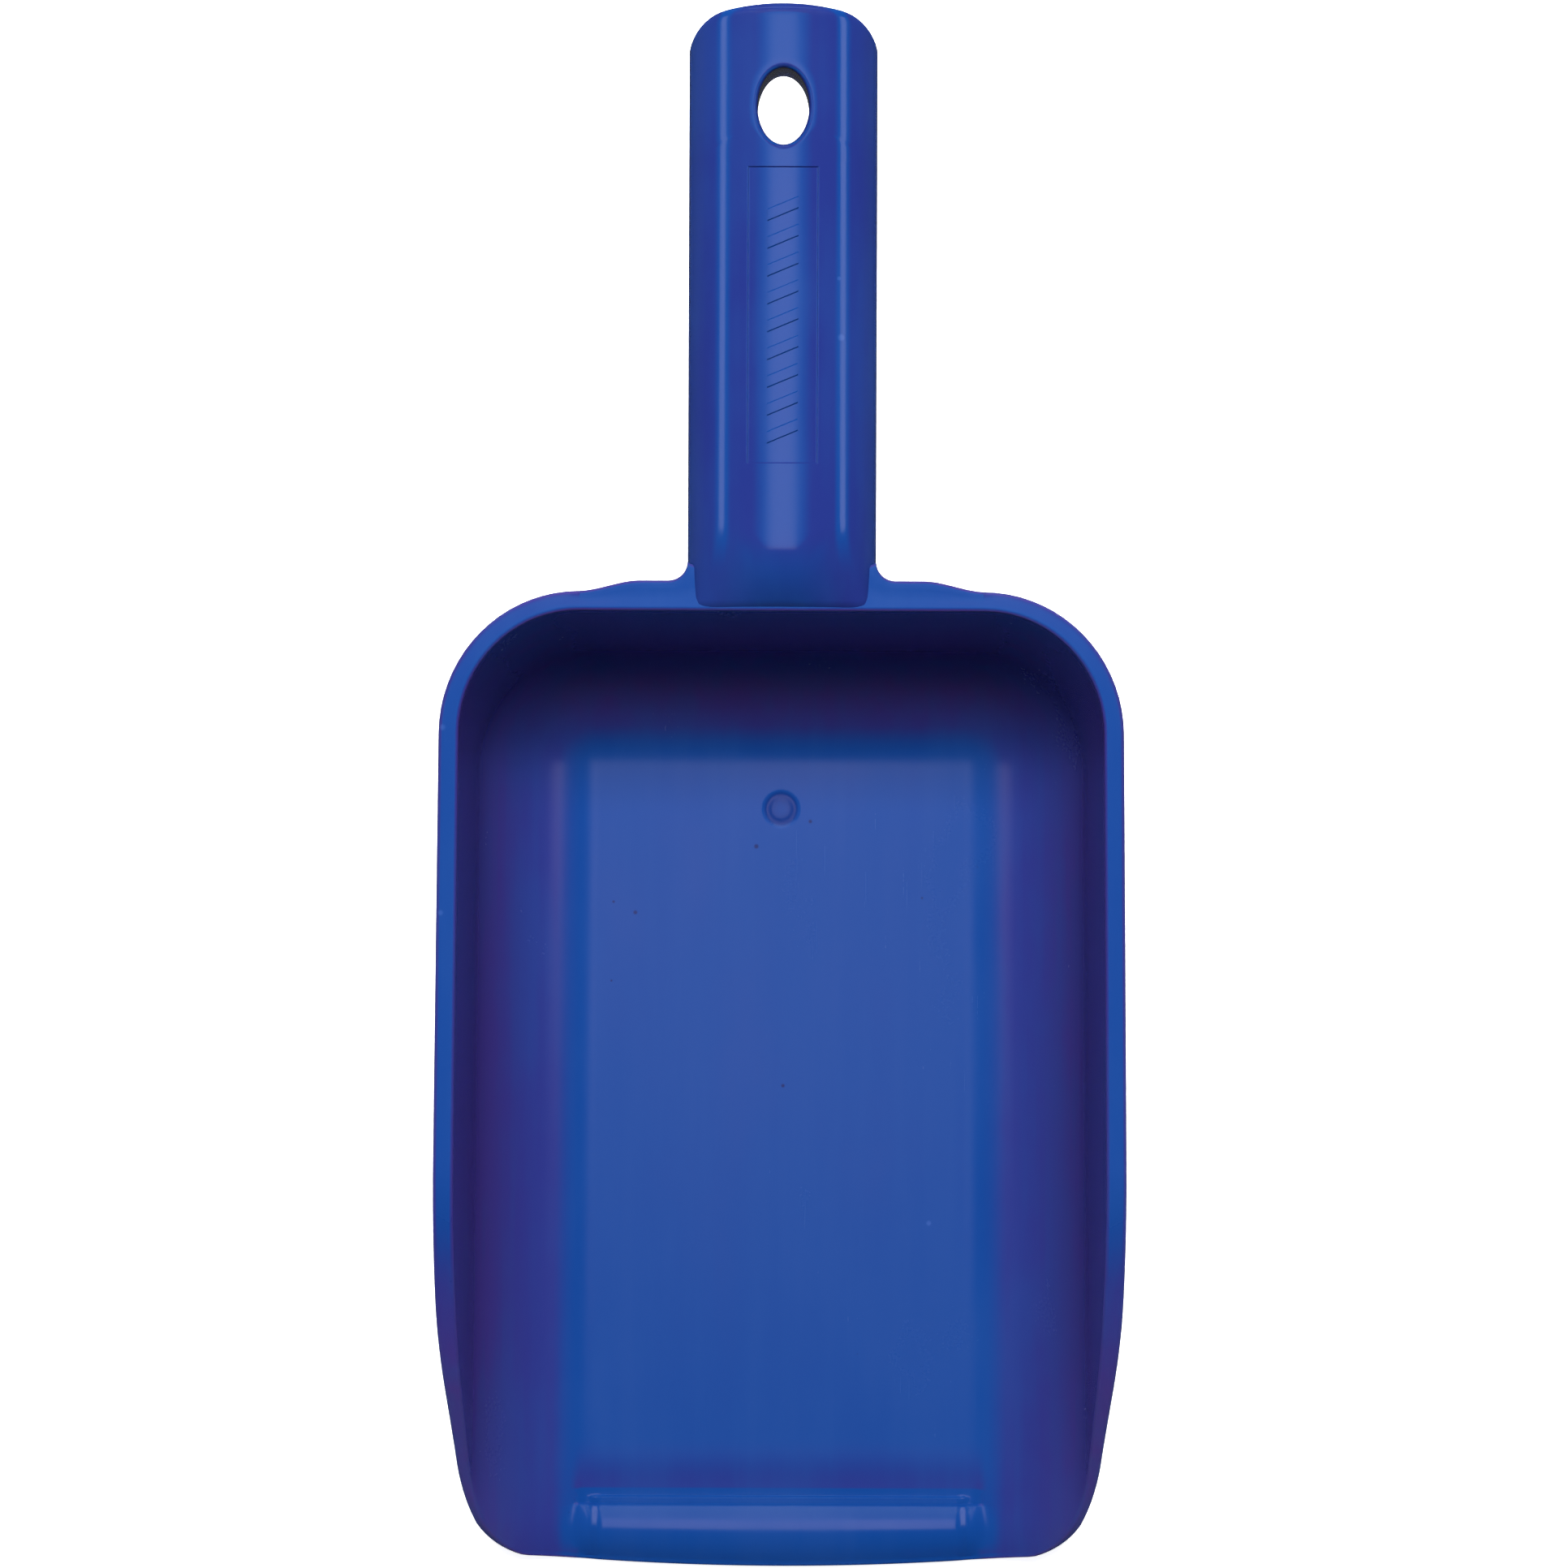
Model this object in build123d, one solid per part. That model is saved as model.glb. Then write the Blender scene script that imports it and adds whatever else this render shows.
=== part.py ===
from build123d import *
import os
from math import cos, radians, sin, tan

# Feed scoop: one injection moulding, written as named regions that meet face to face.
# Millimetres. X runs across, Y from the scooping lip to the handle, Z up.
# The origin is under the middle of the overall length, at the level the scoop stands on.

# Whole scoop
overall_length = 330.0
rim_height = 57.5
wall = 2.5
reach = 120.0  # how far construction solids run past the scoop
overrun = 20.0  # how far the bowl block runs past the lip and the rim

# Bowl cavity, measured at rim height
cavity_half = 67.2
cavity_back = 39.5
corner_radius = 25.2
side_draft = 5.0
back_draft = 12.5
splay = 0.5  # each side opens this many degrees towards the lip

# Rim flange
flange = 1.7
rim_depth = 3.0
slope_start = -74.0  # the rim is level behind this
slope_radius = 80.0
slope_angle = 39.0
shoulder_y = 45.8  # the rim is wider beside the handle
shoulder_x = 29.5
shoulder_end = (42.5, 43.6)
root_fillet = 4.0

# Front outline
lip_front = -overall_length / 2
lip_half = 54.4
lip_bow = 2.5  # how much the lip bulges forward
corner_end = (64.4, -153.5)
corner_mid = (60.8, -158.7)
flank_mid = (69.9, -126.0)
flank_end = (72.4, -85.0)

# Raised lip
lip_back = -149.9
lip_crest = -151.7
lip_rise = 0.9
lip_nose = 1.5
lip_crown = (-158.8, 3.3)
nose_chamfer = (1.2, 0.7)
floor_half = 41.0  # the floor region, just past the flat
floor_end = 8.0

# Handle
handle_end_y = overall_length / 2
handle_half = 19.6
handle_top = 63.0
handle_bottom = 41.0
crown_radius = 45.0
shoulder_radius = 10.4
shoulder_slope = 15.5
skin = 3.0
root_start = 58.0  # the crown falls from here to the bowl
root_fall = 0.2  # millimetres down for each millimetre towards the bowl
root_overlap = 6.0  # how far the handle and its hollow run into the back wall
end_bow_radius = 49.0
end_bow_half = 12.0
end_corner_mid = (17.4, 160.1)
end_side_y = 156.0
end_cut = 155.5  # where the end cap region begins

# Hang hole and the tube round it
hole_y = 143.6
hole_half_x = 5.35
hole_half_y = 7.95
boss_wall = 2.4
boss_bottom = 43.0

# Ribs across the channel
rib_places = [62.0, 80.0, 98.0, 116.0]
rib_thickness = 2.0
rib_bottom = 52.0

# Marking panel on the crown
panel_half = 7.2
panel_ends = (69.8, 131.0)
panel_top = 62.4
panel_depth = 1.2

# Gate mark in the floor
gate_y = -2.0
gate_radius = 3.7
gate_disc = 2.3  # the raised middle of the mark
gate_depth = 0.5


def side_x(y, z, grow):
    """Half the width of the bowl block at a height, grown outwards by a thickness."""
    leaning = (z - rim_height) * tan(radians(side_draft)) + grow / cos(radians(side_draft))
    return cavity_half + leaning - y * tan(radians(splay))


def back_y(z, grow):
    """Where the back face of the bowl block stands at a height."""
    leaning = (z - rim_height) * tan(radians(back_draft)) + grow / cos(radians(back_draft))
    return cavity_back + leaning


def bowl_block(grow):
    """The cavity as a rounded solid, grown outwards by a thickness."""
    low = wall - grow
    high = rim_height + overrun
    front = lip_front - overrun
    rings = []
    for z in (low, high):
        back = back_y(z, grow)
        corners = [
            (-side_x(front, z, grow), front),
            (side_x(front, z, grow), front),
            (side_x(back, z, grow), back),
            (-side_x(back, z, grow), back),
        ]
        rings.append(Plane.XY.offset(z) * make_face(Polyline(*corners, close=True)))
    block = loft(rings, ruled=True)
    rounded = [e for e in block.edges() if e.center().Y > front + 1 and e.center().Z < high - 1]
    return fillet(rounded, corner_radius + grow)


def across(outline):
    """A closed outline drawn in Y and Z, run across the whole width."""
    face = make_face(outline)
    return extrude(face, reach, both=True)


def rim_curve(drop):
    """The rim seen from the side, lowered squarely by a depth: level, an arc, then a straight slope."""
    lean = radians(slope_angle)
    radius = slope_radius - drop
    arc_y = slope_start - radius * sin(lean)
    arc_z = rim_height - slope_radius + radius * cos(lean)
    mid_y = slope_start - radius * sin(lean / 2)
    mid_z = rim_height - slope_radius + radius * cos(lean / 2)
    back_point = (reach, rim_height - drop)
    start_point = (slope_start, rim_height - drop)
    level = Line(back_point, start_point)
    bend = ThreePointArc(start_point, (mid_y, mid_z), (arc_y, arc_z))
    foot_point = (arc_y - reach * cos(lean), arc_z - reach * sin(lean))
    slope = Line((arc_y, arc_z), foot_point)
    base = Polyline(foot_point, (foot_point[0], -2 * reach), (reach, -2 * reach), back_point)
    return level + bend + slope + base


def below_rim(drop):
    """Everything below the rim, or below a line that far under it."""
    return across(Plane.YZ * rim_curve(drop))


def front_trim():
    """The plan outline of the lip, its corners and the flanks, as a tall solid."""
    lip_end = (lip_half, lip_front + lip_bow)
    far = (reach, flank_end[1])
    lip = ThreePointArc((-lip_half, lip_end[1]), (0, lip_front), lip_end)
    corner = ThreePointArc(lip_end, corner_mid, corner_end)
    flank = Spline(corner_end, flank_mid, flank_end)
    side = Polyline(flank_end, far, (reach, reach), (0, reach))
    half = corner + flank + side
    outline = lip + half + mirror(half, Plane.YZ)
    return extrude(make_face(outline), reach, both=True)


def handle_section(y, top, low, thin):
    """The crowned section of the handle at one place, thinner all round by a thickness."""
    lean = radians(shoulder_slope)
    crown = crown_radius - thin
    shoulder = shoulder_radius - thin
    half = handle_half - thin
    shoulder_centre = half - shoulder
    knee_x = shoulder_centre + shoulder * sin(lean)
    crest = top - thin
    knee_z = crest - crown + (crown**2 - knee_x**2) ** 0.5
    side_z = knee_z - shoulder * cos(lean)
    bulge = radians(90 + shoulder_slope) / 2
    mid = (shoulder_centre + shoulder * sin(bulge), side_z + shoulder * cos(bulge))
    right = Line((half, low), (half, side_z)) + ThreePointArc((half, side_z), mid, (knee_x, knee_z))
    arc = ThreePointArc((knee_x, knee_z), (0, crest), (-knee_x, knee_z))
    foot = Line((-half, low), (half, low))
    outline = right + arc + mirror(right, Plane.YZ) + foot
    # The sketch's own up is +Z and its own right is +X.
    place = Plane(origin=(0, y, 0), x_dir=(1, 0, 0), z_dir=(0, -1, 0))
    return place * make_face(outline)


def handle_form(thin, low, root_y):
    """The handle thinner all round by a thickness, with its fall towards the bowl."""
    straight = handle_section(root_start, handle_top, low, thin)
    fallen = handle_section(root_y, handle_top - (root_start - root_y) * root_fall, low, thin)
    body = extrude(straight, amount=handle_end_y - root_start, dir=(0, 1, 0))
    return body + loft([fallen, straight], ruled=True)


def handle_plan(inset):
    """The rounded end of the handle in plan, as a tall solid."""
    half = handle_half - inset
    tip = handle_end_y - inset
    bow = end_bow_radius - inset
    bow_half = end_bow_half - inset * end_bow_half / end_bow_radius
    bow_y = tip - bow + (bow**2 - bow_half**2) ** 0.5
    slant = inset * sin(radians(45))
    corner_mid = (end_corner_mid[0] - slant, end_corner_mid[1] - slant)
    side = Line((half, 0), (half, end_side_y))
    corner = ThreePointArc((half, end_side_y), corner_mid, (bow_half, bow_y))
    bow_arc = ThreePointArc((bow_half, bow_y), (0, tip), (-bow_half, bow_y))
    right = side + corner
    outline = right + bow_arc + mirror(right, Plane.YZ) + Line((-half, 0), (half, 0))
    return extrude(make_face(outline), reach, both=True)


def handle_solid():
    """The outer form of the handle with nothing taken out."""
    return handle_form(0, handle_bottom, cavity_back - root_overlap) & handle_plan(0)


def channel_solid():
    """The hollow under the handle, open below and closed at the end."""
    below = handle_bottom - skin
    hollow = handle_form(skin, below, cavity_back - 2 * root_overlap)
    return hollow & handle_plan(skin)


def oval(grow, low, high):
    """An oval prism at the hang hole, grown all round."""
    outline = Ellipse(hole_half_x + grow, hole_half_y + grow)
    return Pos(0, hole_y, low) * extrude(outline, high - low)


def root_shoulders():
    """The wider rim beside the handle, curving into the sides of the handle."""
    tip = (handle_half, shoulder_y + root_fillet)
    foot = (handle_half + root_fillet, shoulder_y)
    middle = root_fillet * (1 - cos(radians(45)))
    turn = ThreePointArc(tip, (handle_half + middle, shoulder_y + middle), foot)
    ledge = Line(foot, (shoulder_x, shoulder_y))
    ease = Spline((shoulder_x, shoulder_y), shoulder_end, tangents=[(1, 0), (1, 0)])
    inside = cavity_back - root_overlap
    inner = Polyline(shoulder_end, (shoulder_end[0], inside), (0, inside), (0, tip[1]), tip)
    right = make_face(turn + ledge + ease + inner)
    both = right + mirror(right, Plane.YZ)
    return Pos(0, 0, rim_height - rim_depth) * extrude(both, rim_depth)


def lip_solid():
    """The raised lip, crowned and brought down to a thin nose."""
    crest = wall + lip_rise
    tip = (lip_front + nose_chamfer[0], 0)
    top = ThreePointArc((lip_crest, crest), lip_crown, (lip_front, lip_nose))
    heel = Polyline((lip_crest, crest), (lip_back, wall), (lip_back, 0), tip)
    nose = Polyline(tip, (lip_front, nose_chamfer[1]), (lip_front, lip_nose))
    lip = across(Plane.YZ * (top + heel + nose))
    return lip & zone(-floor_half, floor_half, -2 * reach, lip_back)


def gate_cut():
    """The shallow ring left round the gate in the floor."""
    ring = Cylinder(gate_radius, gate_depth) - Cylinder(gate_disc, gate_depth)
    return Pos(0, gate_y, wall - gate_depth / 2) * ring


def zone(x0, x1, y0, y1):
    """A tall block between two places in X and two in Y."""
    return Pos((x0 + x1) / 2, (y0 + y1) / 2, 0) * Box(x1 - x0, y1 - y0, 4 * reach)


def build():
    """Every region of the moulding by name."""
    cavity = bowl_block(0)
    outer = bowl_block(wall)
    keep = below_rim(0) & front_trim()
    lowered = below_rim(rim_depth)
    handle_outer = handle_solid()
    channel = channel_solid()

    walls = (outer - cavity) & keep & lowered
    floor = walls & zone(-floor_half, floor_half, lip_back, floor_end) - gate_cut()
    lip = lip_solid() & keep
    left = walls & zone(-reach, -floor_half, -2 * reach, floor_end)
    right = walls & zone(floor_half, reach, -2 * reach, floor_end)
    back = walls & zone(-reach, reach, floor_end, reach)

    rim = (bowl_block(wall + flange) + root_shoulders()) & keep
    rim = rim - lowered - cavity - handle_outer
    left_rim = rim & zone(-reach, 0, -2 * reach, reach)
    right_rim = rim & zone(0, reach, -2 * reach, reach)

    shell = handle_outer - channel - cavity - (outer & lowered)
    hole = oval(0, 0, 2 * reach)
    panel_zone = zone(-panel_half, panel_half, *panel_ends)
    over_panel = Pos(0, 0, panel_top + reach / 2) * Box(2 * reach, 4 * reach, reach)
    panel_slab = Pos(0, 0, panel_top - panel_depth / 2) * Box(2 * reach, 4 * reach, panel_depth)
    shell = shell - hole - (panel_zone & over_panel)
    panel = shell & panel_zone & panel_slab
    shell = shell - panel
    end_zone = zone(-reach, reach, end_cut, 2 * reach)
    end = shell & end_zone
    shell = shell - end_zone

    under = channel - (outer & lowered)
    boss = (oval(boss_wall, boss_bottom, handle_top) - hole) & under
    ribs = Part()
    for place in rib_places:
        plate = Pos(0, place, rib_bottom + reach / 2) * Box(reach, rib_thickness, reach)
        ribs = ribs + (plate & under)

    return {
        "bowl_floor": floor,
        "left_side_wall": left,
        "right_side_wall": right,
        "back_wall": back,
        "left_rim": left_rim,
        "right_rim": right_rim,
        "scooping_lip": lip,
        "handle_shell": shell,
        "handle_end": end,
        "hang_hole_boss": boss,
        "handle_ribs": ribs,
        "marking_panel": panel,
    }


os.makedirs("parts", exist_ok=True)
for name, shape in build().items():
    export_step(shape, f"parts/{name}.step")
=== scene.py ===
import bpy
import bmesh
import math
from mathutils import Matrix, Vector


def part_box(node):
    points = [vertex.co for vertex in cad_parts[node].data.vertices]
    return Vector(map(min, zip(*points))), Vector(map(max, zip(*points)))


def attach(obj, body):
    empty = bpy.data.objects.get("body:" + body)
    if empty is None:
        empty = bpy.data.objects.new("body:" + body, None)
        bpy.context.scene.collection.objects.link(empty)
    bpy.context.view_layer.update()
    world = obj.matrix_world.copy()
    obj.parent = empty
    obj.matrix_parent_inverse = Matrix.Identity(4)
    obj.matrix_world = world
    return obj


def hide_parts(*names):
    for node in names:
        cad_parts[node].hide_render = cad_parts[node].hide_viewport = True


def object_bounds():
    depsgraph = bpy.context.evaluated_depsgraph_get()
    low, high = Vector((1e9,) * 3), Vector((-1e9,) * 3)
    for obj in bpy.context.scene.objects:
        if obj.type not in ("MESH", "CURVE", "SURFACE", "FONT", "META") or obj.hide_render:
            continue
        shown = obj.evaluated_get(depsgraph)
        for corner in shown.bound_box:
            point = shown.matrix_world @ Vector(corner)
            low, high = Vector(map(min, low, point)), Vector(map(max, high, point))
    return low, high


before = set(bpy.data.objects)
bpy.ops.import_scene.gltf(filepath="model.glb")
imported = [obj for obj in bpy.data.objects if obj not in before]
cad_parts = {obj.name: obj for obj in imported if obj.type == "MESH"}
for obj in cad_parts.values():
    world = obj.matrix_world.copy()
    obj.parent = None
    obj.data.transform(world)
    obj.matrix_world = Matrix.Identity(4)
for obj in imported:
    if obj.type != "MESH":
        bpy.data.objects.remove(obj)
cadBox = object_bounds()
mm = 0.001  # the shape functions work in millimetres, meshes are in metres
print("frame loaded:", len(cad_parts), "regions")


# small helpers

def ease(value, start, end):
    t = min(max((value - start) / (end - start), 0.0), 1.0)
    return t * t * (3 - 2 * t)


def mix(a, b, t):
    return a + (b - a) * t


def spread(start, end, count):
    return [mix(start, end, i / count) for i in range(count + 1)]


def joined(*runs):  # one rising list from several that share their ends
    found = []
    for run in runs:
        found += run if not found else run[1:]
    return found


def newSkin():
    return {"points": [], "index": {}, "faces": []}


def addPoint(skin, p):
    key = (round(p[0], 3), round(p[1], 3), round(p[2], 3))
    if key not in skin["index"]:
        skin["index"][key] = len(skin["points"])
        skin["points"].append((p[0] * mm, p[1] * mm, p[2] * mm))
    return skin["index"][key]


def addPatch(skin, rows, sides=(1, -1)):  # a grid of points, and its mirror image across the middle
    for side in sides:
        ids = [[addPoint(skin, (side * p[0], p[1], p[2])) for p in row] for row in rows]
        for low, high in zip(ids, ids[1:]):
            for i in range(len(low) - 1):
                corners = [low[i], low[i + 1], high[i + 1], high[i]]
                face = [c for n, c in enumerate(corners) if c not in corners[:n]]
                if len(face) > 2:
                    skin["faces"].append(face)


def addCap(skin, ring):  # one flat face over a ring of points, and its mirror image
    for side in (1, -1):
        skin["faces"].append([addPoint(skin, (side * p[0], p[1], p[2])) for p in ring])


def toObject(name, skin):
    mesh = bpy.data.meshes.new(name)
    mesh.from_pydata(skin["points"], [], skin["faces"])
    work = bmesh.new()
    work.from_mesh(mesh)
    bmesh.ops.remove_doubles(work, verts=work.verts, dist=4e-6)
    bmesh.ops.recalc_face_normals(work, faces=work.faces)
    open_ = sum(1 for e in work.edges if len(e.link_faces) != 2)
    work.to_mesh(mesh)
    work.free()
    mesh.shade_smooth()
    mesh.set_sharp_from_angle(angle=math.radians(30))
    piece = bpy.data.objects.new(name, mesh)
    bpy.context.scene.collection.objects.link(piece)
    print(name, "faces", len(mesh.polygons), "open edges", open_)
    return piece


# the bowl: floor, walls, rim and lip in one skin

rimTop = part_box("left_rim")[1][2] / mm
lipTip = cadBox[0][1] / mm

bowl = {
    "wall": 2.5,
    "radius": 25.2,  # inside, between floor and walls and up the back corners
    "half": 67.2,  # cavity at rim height
    "back": 39.5,
    "sideDraft": math.radians(5.0),
    "backDraft": math.radians(12.5),
    "splay": math.radians(0.5),
    "slopeStart": -74.0,  # the rim is level behind this
    "slopeRadius": 80.0,
    "slope": math.radians(39.0),
    "flange": 1.7,
    "flangeFade": (-150.0, -105.0),
    "rimDepth": 3.0,
    "rimRounding": 0.8,
    "stripDepth": 4.6,  # where the rim strip hands over to the outer skin
    "shoulderY": 45.8,  # wider rim beside the handle
    "shoulderX": 29.5,
    "shoulderEnd": (42.5, 43.6),
    "rootFillet": 4.0,
    "rootHalf": 19.6,
}

lip = {
    "half": 54.4,
    "bow": 2.5,
    "cornerMid": (60.8, -158.7),
    "cornerEnd": (64.4, -153.5),
    "riserA": (149.7, 150.2),  # the two small steps up to the lip
    "riserB": (151.4, 151.9),
    "reachA": (38.2, 39.4),
    "reachB": (41.4, 43.4),
    "stepA": 0.55,
    "stepB": 0.75,
    "dip": 0.4,
    "dipRun": (142.0, 149.0),
    "swellSlope": 0.275,  # the land swells forward of the steps
    "swellRun": 10.6,
    "swellReach": (38.5, 46.5),
    "noseDrop": 1.0,
    "noseSwell": 0.8,
}

gate = {"y": -1.96, "ring": 3.7, "disc": 2.35, "soft": 0.45, "depth": 0.16, "discDepth": 0.1}

floorTop = bowl["wall"]
radius = bowl["radius"]


def climb(run, draft):  # how far out and up the inside goes after a run from the flat, and its lean
    turn = math.pi / 2 - draft
    if run < radius * turn:
        angle = run / radius
        return radius * math.sin(angle), radius * (1 - math.cos(angle)), angle
    rest = run - radius * turn
    out = radius * math.cos(draft) + rest * math.sin(draft)
    return out, radius * (1 - math.sin(draft)) + rest * math.cos(draft), turn


def bendUp(draft):  # height where the bend ends and the straight wall begins
    return radius * (1 - math.sin(draft))


def wallRun(draft):
    return (rimTop - floorTop - bendUp(draft)) / math.cos(draft)


sideBend = radius * (math.pi / 2 - bowl["sideDraft"])
sideRun = sideBend + wallRun(bowl["sideDraft"])
backRun = radius * (math.pi / 2 - bowl["backDraft"]) + wallRun(bowl["backDraft"])
flatHalf = bowl["half"] - climb(sideRun, bowl["sideDraft"])[0]
flatBack = bowl["back"] - climb(backRun, bowl["backDraft"])[0]
widest = flatHalf + sideRun


def splayed(x, y, z):  # the bowl opens a little towards the lip
    return (x * (1 - y * math.tan(bowl["splay"]) / bowl["half"]), y, z)


def rise(q, y):  # what stands above or below the plain floor
    lipA = 1 - ease(q, *lip["reachA"])
    lipB = 1 - ease(q, *lip["reachB"])
    height = -lip["dip"] * ease(-y, *lip["dipRun"]) * lipB
    height += lip["stepA"] * ease(-y, *lip["riserA"]) * lipA
    height += lip["stepB"] * ease(-y, *lip["riserB"]) * lipB
    run = min(max(-y - lip["riserB"][1], 0.0), lip["swellRun"])
    swell = 1 - ease(q, *lip["swellReach"])
    height += lip["swellSlope"] * (run - run * run / (2 * lip["swellRun"])) * swell
    away = math.hypot(q, y - gate["y"])
    soft = gate["soft"]
    ring = ease(away, gate["disc"] - soft, gate["disc"] + soft)
    ring *= 1 - ease(away, gate["ring"] - soft, gate["ring"] + soft)
    disc = 1 - ease(away, gate["disc"] - soft, gate["disc"] + soft)
    return height - gate["depth"] * ring - gate["discDepth"] * disc


def sidePoint(q, y, depth):  # q runs from the middle over the floor and up the side wall
    out, up, lean = climb(max(q - flatHalf, 0.0), bowl["sideDraft"])
    lift = max(up - bendUp(bowl["sideDraft"]), 0.0)
    x = min(q, flatHalf) + out + depth * math.sin(lean)
    z = floorTop + up - depth * math.cos(lean)
    turn = ease(y, flatBack - 50.0, flatBack)
    return splayed(x, y + turn * math.tan(bowl["backDraft"]) * lift, z)


sideNormal = Vector((math.cos(bowl["sideDraft"]), 0, -math.sin(bowl["sideDraft"])))
backNormal = Vector((0, math.cos(bowl["backDraft"]), -math.sin(bowl["backDraft"])))
downNormal = Vector((0, 0, -1))
ballCentre = Vector((flatHalf, flatBack, floorTop + radius))
cornerRise = Vector((math.tan(bowl["sideDraft"]), math.tan(bowl["backDraft"]), 1.0))


def cornerPoint(share, step, below, depth):  # share 0 at the side wall, 1 at the back wall
    facing = sideNormal.slerp(backNormal, share)
    if step <= 1:
        facing = downNormal.slerp(facing, step) if step > 0 else downNormal
        place = ballCentre + facing * (radius + depth)
    else:
        upright = math.sqrt(1 - facing[2] ** 2)
        full = rimTop - below * upright - ballCentre[2] - radius * facing[2]
        place = ballCentre + facing * (radius + depth) + cornerRise * full * (step - 1)
    return splayed(*place)


def backPoint(x, step, below, depth):
    share = x / flatHalf
    draft = bowl["backDraft"]
    bend = radius * (math.pi / 2 - draft)
    run = bend * step if step <= 1 else bend + (step - 1) * (wallRun(draft) - below)
    out, up, lean = climb(run, draft)
    lift = max(up - bendUp(draft), 0.0)
    place = (
        x + share * math.tan(bowl["sideDraft"]) * lift,
        flatBack + out + depth * math.sin(lean),
        floorTop + up - depth * math.cos(lean),
    )
    return splayed(*place)


# the rim seen from the side, and the front outline seen from above

def rimHeight(y):
    start, arc, slope = bowl["slopeStart"], bowl["slopeRadius"], bowl["slope"]
    if y > start:
        return rimTop
    back = start - y
    if back < arc * math.sin(slope):
        return rimTop - arc + math.sqrt(arc * arc - back * back)
    return rimTop - arc + arc * math.cos(slope) - (back - arc * math.sin(slope)) * math.tan(slope)


def rimRun(y):  # how far round the inside the rim lies at a place along the side
    low, high = 0.0, sideRun
    if y > bowl["slopeStart"]:
        return widest
    for _ in range(40):
        middle = (low + high) / 2
        _, up, lean = climb(middle, bowl["sideDraft"])
        if floorTop + up - bowl["wall"] / 2 * math.cos(lean) < rimHeight(y):
            low = middle
        else:
            high = middle
    return flatHalf + low


def circleThrough(a, b, c):
    ax, ay, bx, by, cx, cy = *a, *b, *c
    d = 2 * (ax * (by - cy) + bx * (cy - ay) + cx * (ay - by))
    aa, bb, cc = ax * ax + ay * ay, bx * bx + by * by, cx * cx + cy * cy
    x = (aa * (by - cy) + bb * (cy - ay) + cc * (ay - by)) / d
    y = (aa * (cx - bx) + bb * (ax - cx) + cc * (bx - ax)) / d
    return x, y, math.hypot(ax - x, ay - y)


lipArc = (lip["half"] ** 2 + lip["bow"] ** 2) / (2 * lip["bow"])
lipEnd = (lip["half"], lipTip + lip["bow"])
cornerX, cornerY, cornerArc = circleThrough(lipEnd, lip["cornerMid"], lip["cornerEnd"])
cornerFrom = math.atan2(lipEnd[1] - cornerY, lipEnd[0] - cornerX)
cornerTo = math.atan2(lip["cornerEnd"][1] - cornerY, lip["cornerEnd"][0] - cornerX)
frontRun = lip["half"] + cornerArc * (cornerTo - cornerFrom)


def frontPlan(run):  # along the front edge from the middle
    if run < lip["half"]:
        return run, lipTip + lipArc - math.sqrt(lipArc ** 2 - run ** 2)
    angle = cornerFrom + (run - lip["half"]) / cornerArc
    return cornerX + cornerArc * math.cos(angle), cornerY + cornerArc * math.sin(angle)


def frontChart(run):  # the same, as a place on the unrolled inside
    x, y = frontPlan(run)
    x /= 1 - y * math.tan(bowl["splay"]) / bowl["half"]
    if x < flatHalf:
        return x, y
    reach = min((x - flatHalf) / (radius + bowl["wall"] / 2), 1.0)
    return flatHalf + radius * math.asin(reach), y


# stations: places along floor, walls and rim that every skin shares
frontLine = lip["cornerEnd"][1]
bendSteps = joined(spread(0, 0.12, 8), spread(0.12, 1, 24))
wallSteps = spread(1, 2, 14)
floorPlaces = joined(
    spread(0, 4.8, 16), spread(4.8, 17, 9), spread(17, 31, 24), spread(31, 37.6, 5), spread(37.6, flatHalf, 8)
)
lipRows = [-153.5, -152.7, -152.1, -151.9, -151.78, -151.65, -151.52, -151.4, -151.2, -150.8, -150.4,
           -150.2, -150.08, -149.95, -149.82, -149.7, -149.4, -148.8]
sideRows = joined(
    lipRows, spread(-148.8, -140, 5), spread(-140, -8, 48), spread(-8, 4, 40), [4, 5.5, flatBack]
)
cornerShares = spread(0, 1, 18)


def acrossShares(below):  # shares of the way from the middle to the rim, for one skin
    up = [flatHalf + sideBend * s for s in bendSteps]
    up += [flatHalf + sideBend + (s - 1) * (sideRun - sideBend - below) for s in wallSteps[1:]]
    return [q / (widest - below) for q in joined(floorPlaces, up)]


shares = acrossShares(0)
lineEnd = rimRun(frontLine)
straight = 46.0  # columns run straight out to the lip inside this


def frontStation(share):
    q = share * lineEnd
    if q < straight:
        return frontChart(q)
    run = mix(straight, frontRun, (q - straight) / (lineEnd - straight))
    return frontChart(run)


frontEdge = [frontStation(s) for s in shares[:-1]] + [(lineEnd, frontLine)]
sideEdge = [(rimRun(y), y) for y in sideRows]
edge = frontEdge + sideEdge[1:]


def inward(i):  # which way is in from the edge, on the unrolled inside
    if i == 0:
        return 0.0, 1.0
    before, after = edge[i - 1], edge[min(i + 1, len(edge) - 1)]
    dq, dy = after[0] - before[0], after[1] - before[1]
    size = math.hypot(dq, dy)
    return -dy / size, dq / size


insides = [inward(i) for i in range(len(edge))]


def sideShare(q, end):  # rows stay straight across the floor and bend only up the side
    return max(q - straight, 0.0) / (end - straight)


def edgePlace(i, below):
    return edge[i][0] + insides[i][0] * below, edge[i][1] + insides[i][1] * below


def noseDrop(q):  # how much the skin comes down at the very front
    ramp = 1 - ease(q, 50.0, lineEnd)
    steps = lip["stepA"] + lip["stepB"] - lip["dip"]
    swell = lip["noseSwell"] * (1 - ease(q, *lip["swellReach"]))
    return (lip["noseDrop"] + swell + steps * (1 - ease(q, *lip["reachB"]))) * ramp


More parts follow.
